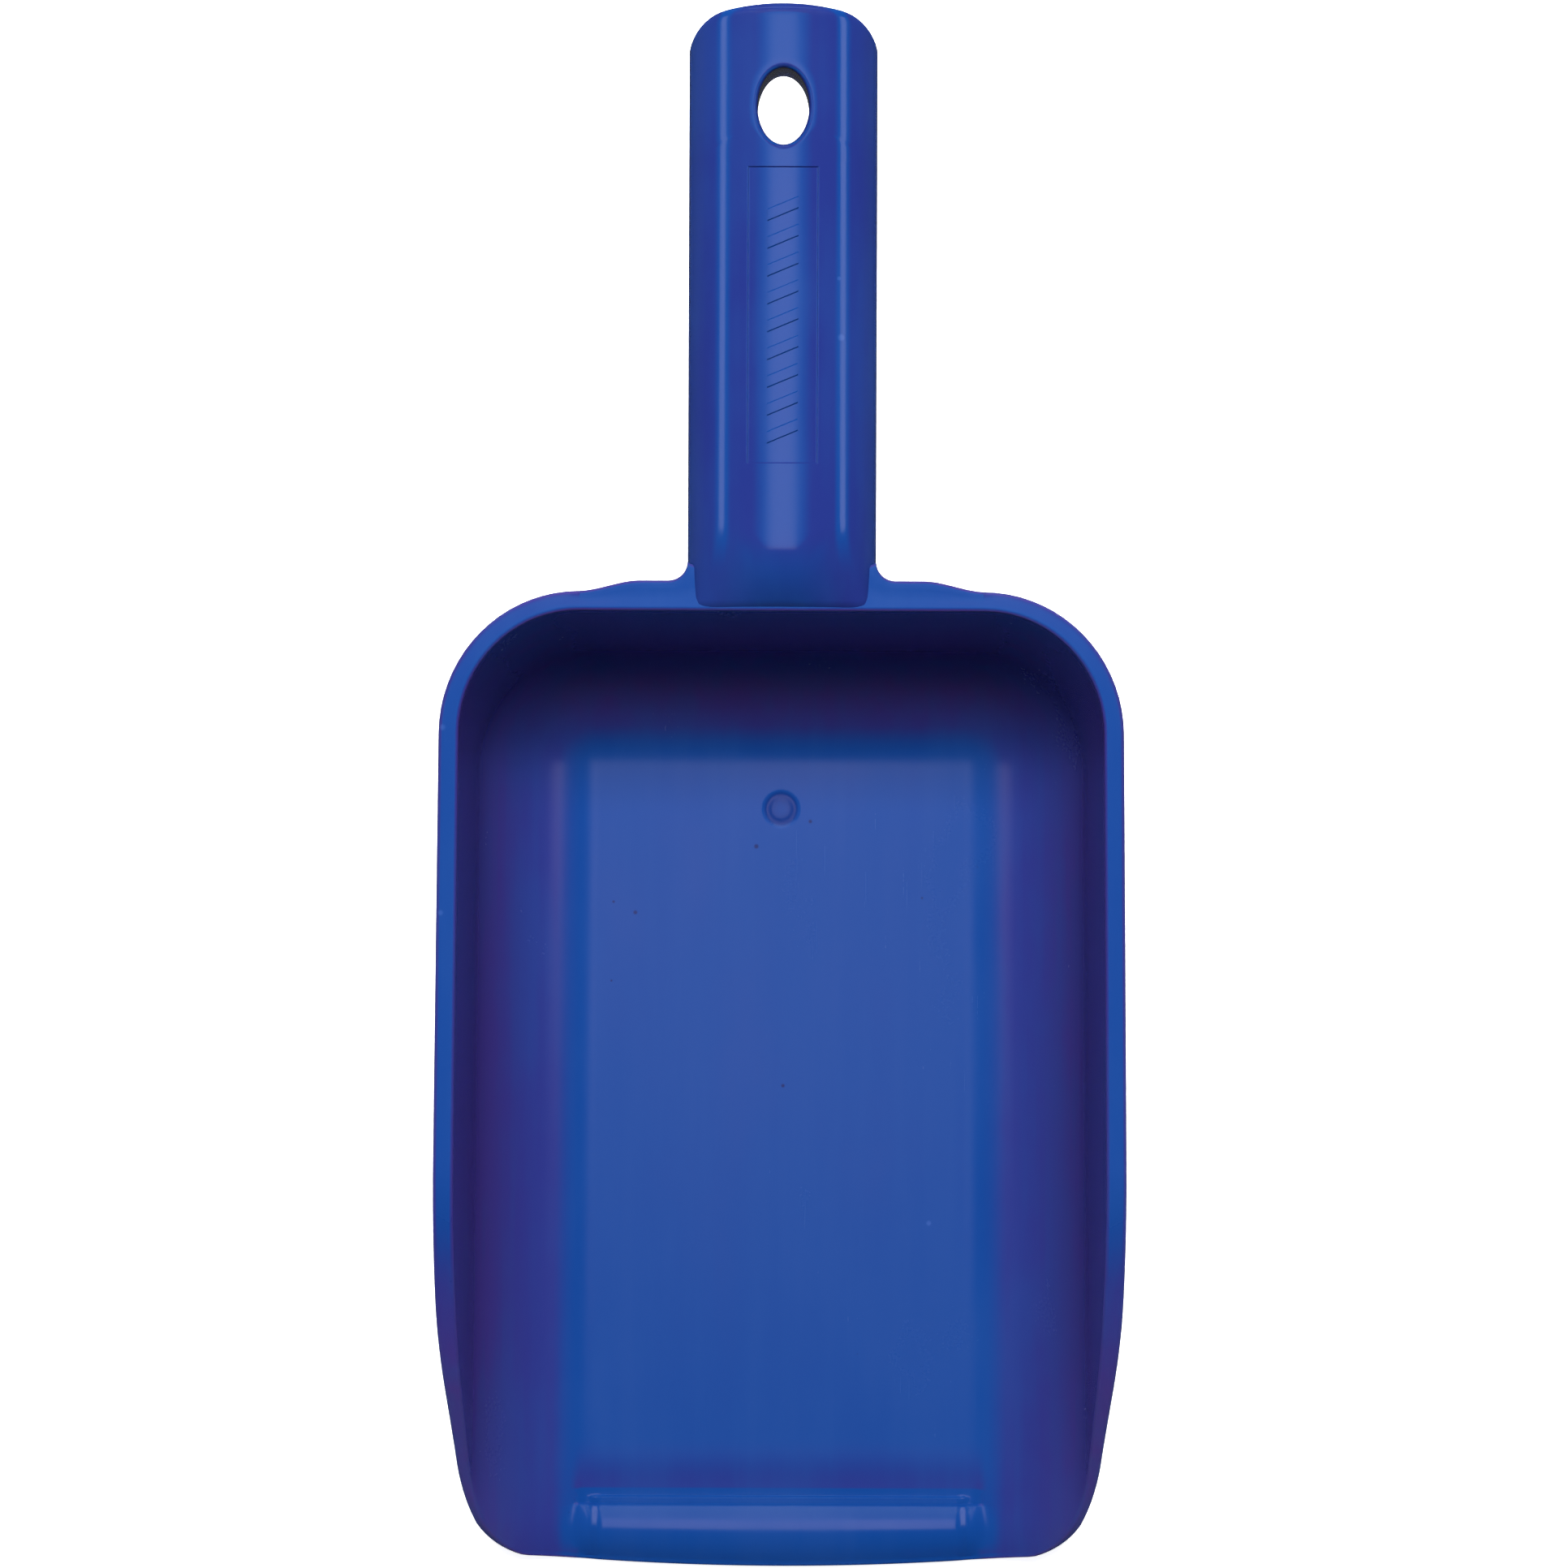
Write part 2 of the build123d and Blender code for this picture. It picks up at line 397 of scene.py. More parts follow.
def shoulderPlace(x):  # outer edge of the rim behind the back wall
    sx, sy, fillet, root = bowl["shoulderX"], bowl["shoulderY"], bowl["rootFillet"], bowl["rootHalf"]
    ex, ey = bowl["shoulderEnd"]
    if x >= sx:
        return x, mix(sy, ey, ease(x, sx, ex))
    ledge = sx - root - fillet
    full = ledge + fillet * math.pi / 2
    run = (sx - x) / (sx - 18.0) * full
    if run < ledge:
        return sx - run, sy
    if run < full:
        angle = (run - ledge) / fillet
        return root + fillet - fillet * math.sin(angle), sy + fillet * (1 - math.cos(angle))
    return x, sy + fillet * ease(x, 15.0, 18.0)


# (depth, below) from the inner skin over the rim to the outer skin
def rimProfile(start, thick, flange, wide):
    inner = min(bowl["rimRounding"], (thick - start) * 0.35)
    outer = min(wide, (thick + flange - start) * 0.45)
    under = min(0.7, flange * 0.45)
    outerFace = thick + flange
    bottom = max(bowl["rimDepth"], outer + under)
    turns = [math.radians(a) for a in (0, 15, 30, 45, 60, 75, 90)]
    line = [(start + inner * (1 - math.cos(a)), inner * (1 - math.sin(a))) for a in turns]
    line += [(mix(start + inner, outerFace - outer, t), 0.0) for t in (0.25, 0.5, 0.75)]
    line += [(outerFace - outer * (1 - math.sin(a)), outer * (1 - math.cos(a))) for a in turns]
    line += [(outerFace, mix(outer, bottom - under, t)) for t in (0.5,)]
    line += [(outerFace - under * (1 - math.cos(a)), bottom - under * (1 - math.sin(a))) for a in turns[::2]]
    line += [(thick + under * (1 - math.sin(a)), bottom + under * (1 - math.cos(a))) for a in turns[::2]]
    line.append((thick, bowl["stripDepth"]))
    return line


def buildBowl():
    skin = newSkin()
    thick = bowl["wall"]
    inset = bowl["rimRounding"]
    outerInset = bowl["stripDepth"]
    for below, depth in ((inset, 0.0), (outerInset, thick)):
        isInside = depth == 0.0
        across = acrossShares(below)
        rows = []
        for k, y in enumerate(sideRows):
            qEnd, yEnd = edgePlace(len(frontEdge) - 1 + k, below)
            row = []
            for c in across:
                q = c * qEnd
                yy = mix(y, yEnd, sideShare(q, qEnd))
                row.append(sidePoint(q, yy, depth - (rise(q, yy) if isInside else 0)))
            rows.append(row)
        addPatch(skin, rows)
        # the front: from the straight line out to the front edge
        columns = []
        startQ, startY = edgePlace(len(frontEdge) - 1, below)
        for i, c in enumerate(across):
            q0 = c * startQ
            y0 = mix(frontLine, startY, sideShare(q0, startQ))
            q1, y1 = edgePlace(i, below)
            column = []
            for f in spread(0, 1, 14):
                q, yy = mix(q0, q1, f), mix(y0, y1, f)
                drop = noseDrop(edge[i][0]) * f ** 2.6
                column.append(sidePoint(q, yy, depth - (rise(q, yy) - drop if isInside else 0)))
            columns.append(column)
        addPatch(skin, columns)
        steps = bendSteps + wallSteps[1:]
        addPatch(skin, [[cornerPoint(w, s, below, depth) for s in steps] for w in cornerShares])
        addPatch(skin, [[backPoint(x, s, below, depth) for s in steps] for x in floorPlaces])
    # the rim and the nose of the lip
    strip = []
    for i in range(len(edge)):
        q, y = edgePlace(i, inset)
        isFront = i < len(frontEdge) - 1
        start = 0.0
        if isFront:
            start = noseDrop(edge[i][0]) - rise(q, y)
        flange = bowl["flange"] * ease(edge[i][1], *bowl["flangeFade"])
        ring = []
        for a, b in rimProfile(start, thick, flange, 0.9):
            if b == min(inset, (thick - start) * 0.35) and a == start:
                b = inset
            place = edgePlace(i, b)
            ring.append(sidePoint(place[0], place[1], a))
        strip.append(ring)
    for w in cornerShares[1:]:
        profile = rimProfile(0, thick, bowl["flange"], 0.9)
        strip.append([cornerPoint(w, 2, b, a) for a, b in profile])
    for x in reversed(floorPlaces[:-1]):
        base = backPoint(x, 2, 0, thick)
        ox, oy = shoulderPlace(base[0])
        flange = math.hypot(ox - base[0], oy - base[1])
        aim = ((ox - base[0]) / flange, (oy - base[1]) / flange)
        ring = []
        for a, b in rimProfile(0, thick, flange, 0.9):
            px, py, pz = backPoint(x, 2, b, min(a, thick))
            past = max(a - thick, 0.0)
            ring.append((px + aim[0] * past, py + aim[1] * past, pz))
        strip.append(ring)
    addPatch(skin, strip)
    return toObject("scoopBowl", skin)


scoopBowl = buildBowl()


# the handle: crowned channel, closed end, hang hole and its tube in one skin

handleTip = cadBox[1][1] / mm
handleTop = cadBox[1][2] / mm
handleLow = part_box("handle_shell")[0][2] / mm

grip = {
    "half": 19.6,
    "crown": 75.0,
    "shoulder": 10.4,
    "lean": math.radians(8.19),
    "skin": 3.0,
    "fallStart": 58.0,  # the crown falls from here to the rim, later in the middle
    "fallMiddle": 53.5,
    "fallTo": 39.9,
    "fallDepth": 5.6,
    "seam": 131.7,  # plain rows end here and the rings round the hole begin
    "endSide": 156.0,
    "endMid": (17.4, 160.1),
    "bowHalf": 12.0,
    "bow": 49.0,
    "endRound": 1.9,
    "edgeRound": 0.9,
}

hole = {"y": 143.6, "halfX": 5.35, "halfY": 7.95, "entry": 1.0, "foot": 1.6, "tube": 2.4, "low": 43.0}

panel = {"half": 7.2, "ends": (69.8, 131.0), "edge": 0.12, "top": 62.7, "crown": 75.0}

bowDrop = grip["bow"] - math.sqrt(grip["bow"] ** 2 - grip["bowHalf"] ** 2)
endX, endY, endArc = circleThrough(
    (grip["half"], grip["endSide"]), grip["endMid"], (grip["bowHalf"], handleTip - bowDrop)
)


def endOutline(count):  # plan outline of the end from the side round to the middle, with its normals
    found = []
    a0 = math.atan2(grip["endSide"] - endY, grip["half"] - endX)
    a1 = math.atan2(handleTip - bowDrop - endY, grip["bowHalf"] - endX)
    for a in spread(a0, a1, count):
        found.append((endX + endArc * math.cos(a), endY + endArc * math.sin(a), math.cos(a), math.sin(a)))
    half = math.asin(grip["bowHalf"] / grip["bow"])
    for a in spread(half, 0, count)[1:]:
        x, y = grip["bow"] * math.sin(a), handleTip - grip["bow"] + grip["bow"] * math.cos(a)
        found.append((x, y, math.sin(a), math.cos(a)))
    return found


outline = endOutline(9)


def section(thin):  # sizes of the crowned section, thinner all round
    shoulder, crown, half = grip["shoulder"] - thin, grip["crown"] - thin, grip["half"] - thin
    centre = half - shoulder
    knee = centre + shoulder * math.sin(grip["lean"])
    kneeDrop = crown - math.sqrt(crown * crown - knee * knee)
    return {"shoulder": shoulder, "crown": crown, "half": half, "centre": centre, "knee": knee,
            "kneeDrop": kneeDrop, "sideDrop": kneeDrop + shoulder * math.cos(grip["lean"])}


def crossDrop(x, cut):
    if x <= cut["knee"]:
        return cut["crown"] - math.sqrt(cut["crown"] ** 2 - x * x)
    past = min(x - cut["centre"], cut["shoulder"])
    drop = cut["kneeDrop"] + cut["shoulder"] * math.cos(grip["lean"])
    return drop - math.sqrt(cut["shoulder"] ** 2 - past * past)


def endGap(x, y, thin):  # how far in from the outline of the end
    if y < grip["endSide"] - 12:
        return 99.0
    gaps = [(ox - nx * thin - x) * nx + (oy - ny * thin - y) * ny for ox, oy, nx, ny in outline]
    return max(min(gaps), 0.0)


def skinTop(x, y, cut, thin):  # height of the skin over a place
    drop = crossDrop(x, cut)
    full = grip["endRound"] - thin * 0.6
    gap = endGap(x, y, thin)
    if gap < full:
        over = full - math.sqrt(full * full - (full - gap) ** 2)
        drop = (drop ** 1.7 + over ** 1.7) ** (1 / 1.7)
    z = handleTop - thin - drop
    fallFrom = mix(grip["fallMiddle"], grip["fallStart"], ease(x, 3.0, 11.0))
    if y < fallFrom:
        part = min((fallFrom - y) / (fallFrom - grip["fallTo"]), 1.0)
        fall = grip["fallDepth"] * part ** 2.1
        level = max(1 - drop / cut["sideDrop"], 0.0)
        z -= fall * level ** 2.6
    onPanel = 1 - ease(x, panel["half"] - panel["edge"], panel["half"] + panel["edge"])
    onPanel *= ease(y, panel["ends"][0] - panel["edge"], panel["ends"][0] + panel["edge"])
    onPanel *= 1 - ease(y, panel["ends"][1] - panel["edge"], panel["ends"][1] + panel["edge"])
    if thin == 0 and onPanel > 0:
        z = mix(z, panel["top"] - x * x / (2 * panel["crown"]), onPanel)
    return z


def crossPlaces(cut):  # places across the skin from the middle to the side, then down the side
    edge = panel["half"]
    steps = [edge + d for d in (-0.25, -0.14, -0.07, 0, 0.07, 0.14, 0.25)]
    across = joined(spread(0, steps[0], 10), steps, spread(steps[-1], cut["knee"], 6))
    for a in spread(grip["lean"], math.pi / 2, 16)[1:]:
        across.append(cut["centre"] + cut["shoulder"] * math.sin(a))
    return across


downSteps = spread(0, 1, 5)
gripRows = joined(
    spread(58.0, 69.4, 6), [69.4, 69.68, 69.74, 69.8, 69.86, 69.92, 70.2], spread(70.2, 130.6, 30),
    [130.6, 130.88, 130.94, 131.0, 131.06, 131.12, 131.4, grip["seam"]]
)
rootSteps = spread(0, 1, 22)[:-1]


def rootPlace(z):  # the handle starts inside the back wall, or inside the rim where it is higher
    wallMid = bowl["back"] + (z - rimTop) * math.tan(bowl["backDraft"]) + bowl["wall"] / 2
    return mix(wallMid, grip["fallTo"], ease(z, rimTop - 2.5, rimTop - 0.5))


def gripSkin(skin, thin, low):  # one side of the channel, from its root to the rings round the hole
    cut = section(thin)
    across = crossPlaces(cut)
    sideTop = handleTop - thin - cut["sideDrop"]
    rows = []
    for r in rootSteps + gripRows:
        isRoot = r < 1
        row = []
        for x in across:
            z = skinTop(x, mix(grip["fallTo"], grip["fallStart"], r) if isRoot else r, cut, thin)
            y = mix(rootPlace(z), grip["fallStart"], r) if isRoot else r
            row.append([x, y, skinTop(x, y, cut, thin) - (0.5 if r == 0 else 0)])
        for d in downSteps[1:]:
            z = mix(sideTop, low, d)
            row.append([cut["half"], mix(rootPlace(z), grip["fallStart"], r) if isRoot else r, z])
        rows.append(row)
    addPatch(skin, rows)
    return rows, across, cut, sideTop


def ovalPlace(angle, grow):
    a, b = hole["halfX"] + grow, hole["halfY"] + grow
    reach = 1 / math.sqrt((math.cos(angle) / a) ** 2 + (math.sin(angle) / b) ** 2)
    return reach * math.cos(angle), hole["y"] + reach * math.sin(angle)


# rings from the hole out to the end, then down the walls
def endSkin(skin, thin, low, cut, across, grow, entry):
    border = [(x, grip["seam"]) for x in across]
    sideYs = spread(grip["seam"], grip["endSide"], 14)[1:-1]
    border += [(cut["half"], y) for y in sideYs]
    border += [(x - nx * thin, y - ny * thin) for x, y, nx, ny in outline]
    columns, wallRows = [], []
    for bx, by in border:
        angle = math.atan2(by - hole["y"], bx)
        column = []
        for a in spread(90, 0, 8):
            turn = math.radians(a)
            x, y = ovalPlace(angle, grow + entry * (1 - math.sin(turn)))
            column.append((x, y, skinTop(x, y, cut, thin) - entry * (1 - math.cos(turn))))
        sx, sy, _ = column[-1]
        isSeam = by == grip["seam"]
        for t in spread(0, 1, 18)[1:]:
            bunch = 1 + 0.9 * (min(bx / cut["half"], 1.0) ** 3 if isSeam else 1.0)
            share = 1 - (1 - t) ** bunch
            x, y = mix(sx, bx, share), mix(sy, by, share)
            column.append((x, y, skinTop(x, y, cut, thin)))
        columns.append(column)
        if not isSeam or bx > cut["half"] - 0.01:
            top = column[-1][2]
            wallRows.append([(bx, by, mix(top, low, d)) for d in downSteps])
    addPatch(skin, columns)
    addPatch(skin, wallRows)
    return columns, wallRows


def buildHandle():
    skin = newSkin()
    thin, rounding = grip["skin"], grip["edgeRound"]
    low = handleLow + rounding
    outerRows, across, cut, _ = gripSkin(skin, 0.0, low)
    outerEnd, outerWall = endSkin(skin, 0.0, low, cut, across, 0.0, hole["entry"])
    innerRows, innerAcross, innerCut, _ = gripSkin(skin, thin, low)
    innerEnd, innerWall = endSkin(skin, thin, low, innerCut, innerAcross, hole["tube"], hole["foot"])
    # the skirt's lower edge
    edgeRows = []
    outerFeet = [row[-1] for row in outerRows] + [row[-1] for row in outerWall[1:]]
    innerFeet = [row[-1] for row in innerRows] + [row[-1] for row in innerWall[1:]]
    for (ox, oy, oz), (ix, iy, iz) in zip(outerFeet, innerFeet):
        size = math.hypot(ox - ix, oy - iy)
        row = []
        for a in spread(0, 180, 12):
            turn = math.radians(a)
            if a <= 90:
                share = rounding / size * (1 - math.cos(turn))
            else:
                share = 1 - rounding / size * (1 + math.cos(turn))
            row.append((mix(ox, ix, share), mix(oy, iy, share), oz - rounding * math.sin(turn)))
        edgeRows.append(row)
    addPatch(skin, edgeRows)
    # the root, buried in the back wall
    addPatch(skin, [outerRows[0], innerRows[0]])
    addCap(skin, edgeRows[0])
    # the tube round the hole
    tubeRows = []
    tubeLow = hole["low"] + rounding
    for outerColumn, innerColumn in zip(outerEnd, innerEnd):
        x, y, z = outerColumn[0]
        bx, by, bz = innerColumn[0]
        turns = [math.radians(a) for a in spread(0, 180, 12)]
        size = math.hypot(bx - x, by - y)
        row = [(x, y, mix(z, tubeLow, d)) for d in downSteps]
        for turn in turns[1:]:
            past = rounding / size * (1 - math.cos(turn))
            share = past if turn <= math.pi / 2 + 0.01 else 1 - rounding / size * (1 + math.cos(turn))
            row.append((mix(x, bx, share), mix(y, by, share), tubeLow - rounding * math.sin(turn)))
        row += [(bx, by, mix(tubeLow, bz, d)) for d in downSteps[1:]]
        tubeRows.append(row)
    addPatch(skin, tubeRows)
    return toObject("scoopHandle", skin)


scoopHandle = buildHandle()


# ribs and marking bars, repeated by geometry nodes

rib = {"count": 4, "first": 62.0, "pitch": 18.0, "half": 1.0, "low": 52.0, "bury": 0.6}

bar = {
    "count": 9,
    "first": 76.4,
    "pitch": 5.75,
    "reach": 3.2,
    "half": 1.3,
    "slant": 0.42,
    "proud": 0.28,
    "round": 0.24,
}


def ribBlank():
    skin = newSkin()
    cut = section(grip["skin"])
    last = cut["half"] + rib["bury"]
    rings = []
    for x in spread(0, last, 40):
        inside = min(x, cut["half"] - 0.02)
        top = handleTop - grip["skin"] - crossDrop(inside, cut) + rib["bury"]
        top = max(top, rib["low"] + 1.5)
        ring = [(x, rib["first"] - rib["half"], top)]
        for a in spread(180, 360, 8):
            turn = math.radians(a)
            y = rib["first"] + rib["half"] * math.cos(turn)
            ring.append((x, y, rib["low"] + rib["half"] * (1 + math.sin(turn))))
        ring.append((x, rib["first"] + rib["half"], top))
        ring.append(ring[0])
        rings.append(ring)
    addPatch(skin, rings)
    addCap(skin, rings[-1][:-1])
    return toObject("ribBlank", skin)


def barBlank():
    skin = newSkin()
    rings = []
    for x in spread(-bar["reach"], bar["reach"], 20):
        base = panel["top"] - x * x / (2 * panel["crown"])
        middle = bar["first"] + bar["slant"] * x
        low, high, soft = base - 0.3, base + bar["proud"], bar["round"]
        ring = [(-bar["half"], low), (-bar["half"], high - soft), (soft - bar["half"], high),
                (bar["half"] - soft, high), (bar["half"], high - soft), (bar["half"], low),
                (-bar["half"], low)]
        rings.append([(x, middle + y, z) for y, z in ring])
    addPatch(skin, rings, sides=(1,))
    for ring in (rings[0], rings[-1]):
        skin["faces"].append([addPoint(skin, p) for p in ring[:-1]])
    return toObject("barBlank", skin)


def rowOf(blank, name, count, pitch, material):  # copies of a blank in a line along the handle
    tree = bpy.data.node_groups.new(name + "Row", "GeometryNodeTree")
    face = tree.interface
    face.new_socket("Blank", in_out="INPUT", socket_type="NodeSocketGeometry")
    countSocket = face.new_socket("Count", in_out="INPUT", socket_type="NodeSocketInt")
    pitchSocket = face.new_socket("Pitch", in_out="INPUT", socket_type="NodeSocketVector")
    face.new_socket("Row", in_out="OUTPUT", socket_type="NodeSocketGeometry")
    start, end = tree.nodes.new("NodeGroupInput"), tree.nodes.new("NodeGroupOutput")
    line = tree.nodes.new("GeometryNodeMeshLine")
    place = tree.nodes.new("GeometryNodeInstanceOnPoints")
    real = tree.nodes.new("GeometryNodeRealizeInstances")
    paint = tree.nodes.new("GeometryNodeSetMaterial")
    paint.inputs["Material"].default_value = material
    tree.links.new(start.outputs["Count"], line.inputs["Count"])
    tree.links.new(start.outputs["Pitch"], line.inputs["Offset"])
    tree.links.new(line.outputs[0], place.inputs["Points"])
    tree.links.new(start.outputs["Blank"], place.inputs["Instance"])
    tree.links.new(place.outputs[0], real.inputs[0])
    tree.links.new(real.outputs[0], paint.inputs["Geometry"])
    tree.links.new(paint.outputs[0], end.inputs[0])
    run = blank.modifiers.new("row", "NODES")
    run.node_group = tree
    run[countSocket.identifier] = count
    run[pitchSocket.identifier] = (0.0, pitch * mm, 0.0)
    ready = blank.evaluated_get(bpy.context.evaluated_depsgraph_get())
    mesh = bpy.data.meshes.new_from_object(ready)
    mesh.name = name
    mesh.materials.clear()
    mesh.materials.append(material)
    mesh.shade_smooth()
    mesh.set_sharp_from_angle(angle=math.radians(30))
    piece = bpy.data.objects.new(name, mesh)
    bpy.context.scene.collection.objects.link(piece)
    blank.modifiers.clear()
    bpy.data.objects.remove(blank)
    print(name, "made from", count, "copies")
    return piece


# shader maths

class Wire:  # a socket that can be written in sums
    def __init__(self, sheet, socket):
        self.sheet, self.socket = sheet, socket

    def sum(self, operation, first, second):
        return self.sheet.node("ShaderNodeMath", {"operation": operation}, {0: first, 1: second})

    def __add__(self, other):
        return self.sum("ADD", self, other)

    def __radd__(self, other):
        return self.sum("ADD", other, self)

    def __sub__(self, other):
        return self.sum("SUBTRACT", self, other)

    def __rsub__(self, other):
        return self.sum("SUBTRACT", other, self)

    def __mul__(self, other):
        return self.sum("MULTIPLY", self, other)

    def __rmul__(self, other):
        return self.sum("MULTIPLY", other, self)

    def size(self):
        return self.sum("ABSOLUTE", self, 0.0)


class Sheet:  # one material being built
    def __init__(self, name):
        self.material = bpy.data.materials.new(name)
        self.material.use_nodes = True
        self.tree = self.material.node_tree
        self.shader = self.tree.nodes["Principled BSDF"]

    def node(self, kind, settings, values, output=0):
        made = self.tree.nodes.new(kind)
        for key, value in settings.items():
            setattr(made, key, value)
        for key, value in values.items():
            self.feed(made.inputs[key], value)
        return Wire(self, made.outputs[output])

    def feed(self, socket, value):
        if isinstance(value, Wire):
            self.tree.links.new(value.socket, socket)
        else:
            socket.default_value = value

    def place(self, size, turn=(0, 0, 0)):  # object coordinates, stretched
        here = self.node("ShaderNodeTexCoord", {}, {}, "Object")
        return self.node("ShaderNodeMapping", {}, {"Vector": here, "Scale": size, "Rotation": turn})

    def noise(self, size, detail=2.0, turn=(0, 0, 0)):
        values = {"Vector": self.place(size, turn), "Scale": 1.0, "Detail": detail}
        return self.node("ShaderNodeTexNoise", {}, values)

    def band(self, value, low, high):  # 0 below low, 1 above high, smooth between
        return self.node("ShaderNodeMapRange", {"interpolation_type": "SMOOTHSTEP"},
                         {"Value": value, "From Min": low, "From Max": high})

    def blend(self, share, a, b):
        return self.node("ShaderNodeMix", {"data_type": "RGBA"}, {"Factor": share, 6: a, 7: b}, 2)

    def part(self, vector, axis):
        return self.node("ShaderNodeSeparateXYZ", {}, {0: vector}, axis)

    def away(self, here, spot):  # distance in metres from a spot given in millimetres
        spot = tuple(v * mm for v in spot)
        return self.node("ShaderNodeVectorMath", {"operation": "DISTANCE"}, {0: here, 1: spot}, "Value")

    def set(self, name, value):
        self.feed(self.shader.inputs[name], value)


# blue polypropylene

plastic = {
    "bowl": {
        "paintedLitBlue": (0.0030, 0.036, 0.182, 1),  # painted lit blue, where the skin lies level
        "paintedShadeViolet": (0.0150, 0.022, 0.148, 1),  # painted shade, where it leans
        "paintedDeepShade": (0.0450, 0.024, 0.165, 1),  # deeper painted shade, where it stands up
        "outside": (0.0080, 0.029, 0.170, 1),
        "root": (-9.1, -9.0),
        "level": (0.93, 0.995),
        "paintedSheen": (2.0, 2.1, 2.2, 2.3),
        "shine": 0.25,
        "gloss": 0.27,
    },
    "handle": {
        "paintedLitBlue": (0.0035, 0.038, 0.188, 1),
        "paintedShadeViolet": (0.0110, 0.021, 0.143, 1),
        "paintedDeepShade": (0.0110, 0.020, 0.135, 1),
        "outside": (0.0080, 0.026, 0.155, 1),
        "root": (0.046, 0.057),  # painted shade below this
        "level": (0.9962, 0.9997),
        "paintedSheen": (0.15, 0.24, 0.36, 0.50),  # painted sheen: a bluer band along the round of each shoulder
        "shine": 0.15,
        "gloss": 0.22,
    },
    "deep": (0.003, 0.005, 0.040, 1),  # in the pinholes
    "gateRecessShade": (0.0020, 0.014, 0.105, 1),  # painted shade in the gate mark's recess
    "washed": (0.011, 0.046, 0.195, 1),  # cloudy patches
    "pale": (0.050, 0.110, 0.330, 1),  # rubbed spots
    "grain": 0.00002,
    # place and size of pinholes in the floor
    "specks": ((-5.3, -10.0, 1.0), (6.3, -4.6, 0.8), (-31.3, -24.3, 0.9), (-36.0, -22.0, 0.6),
               (30.4, -21.0, 0.5), (0.6, -61.5, 0.8), (-36.4, -39.0, 0.5)),
    "nicks": ((-70.3, 15.0, 57.4, 1.1), (-70.6, -23.5, 57.4, 1.0), (12.1, 95.8, 61.9, 1.2),
              (11.6, 108.0, 62.0, 0.7),
              (32.1, -91.0, 2.5, 0.9)),  # small pale knocks
}


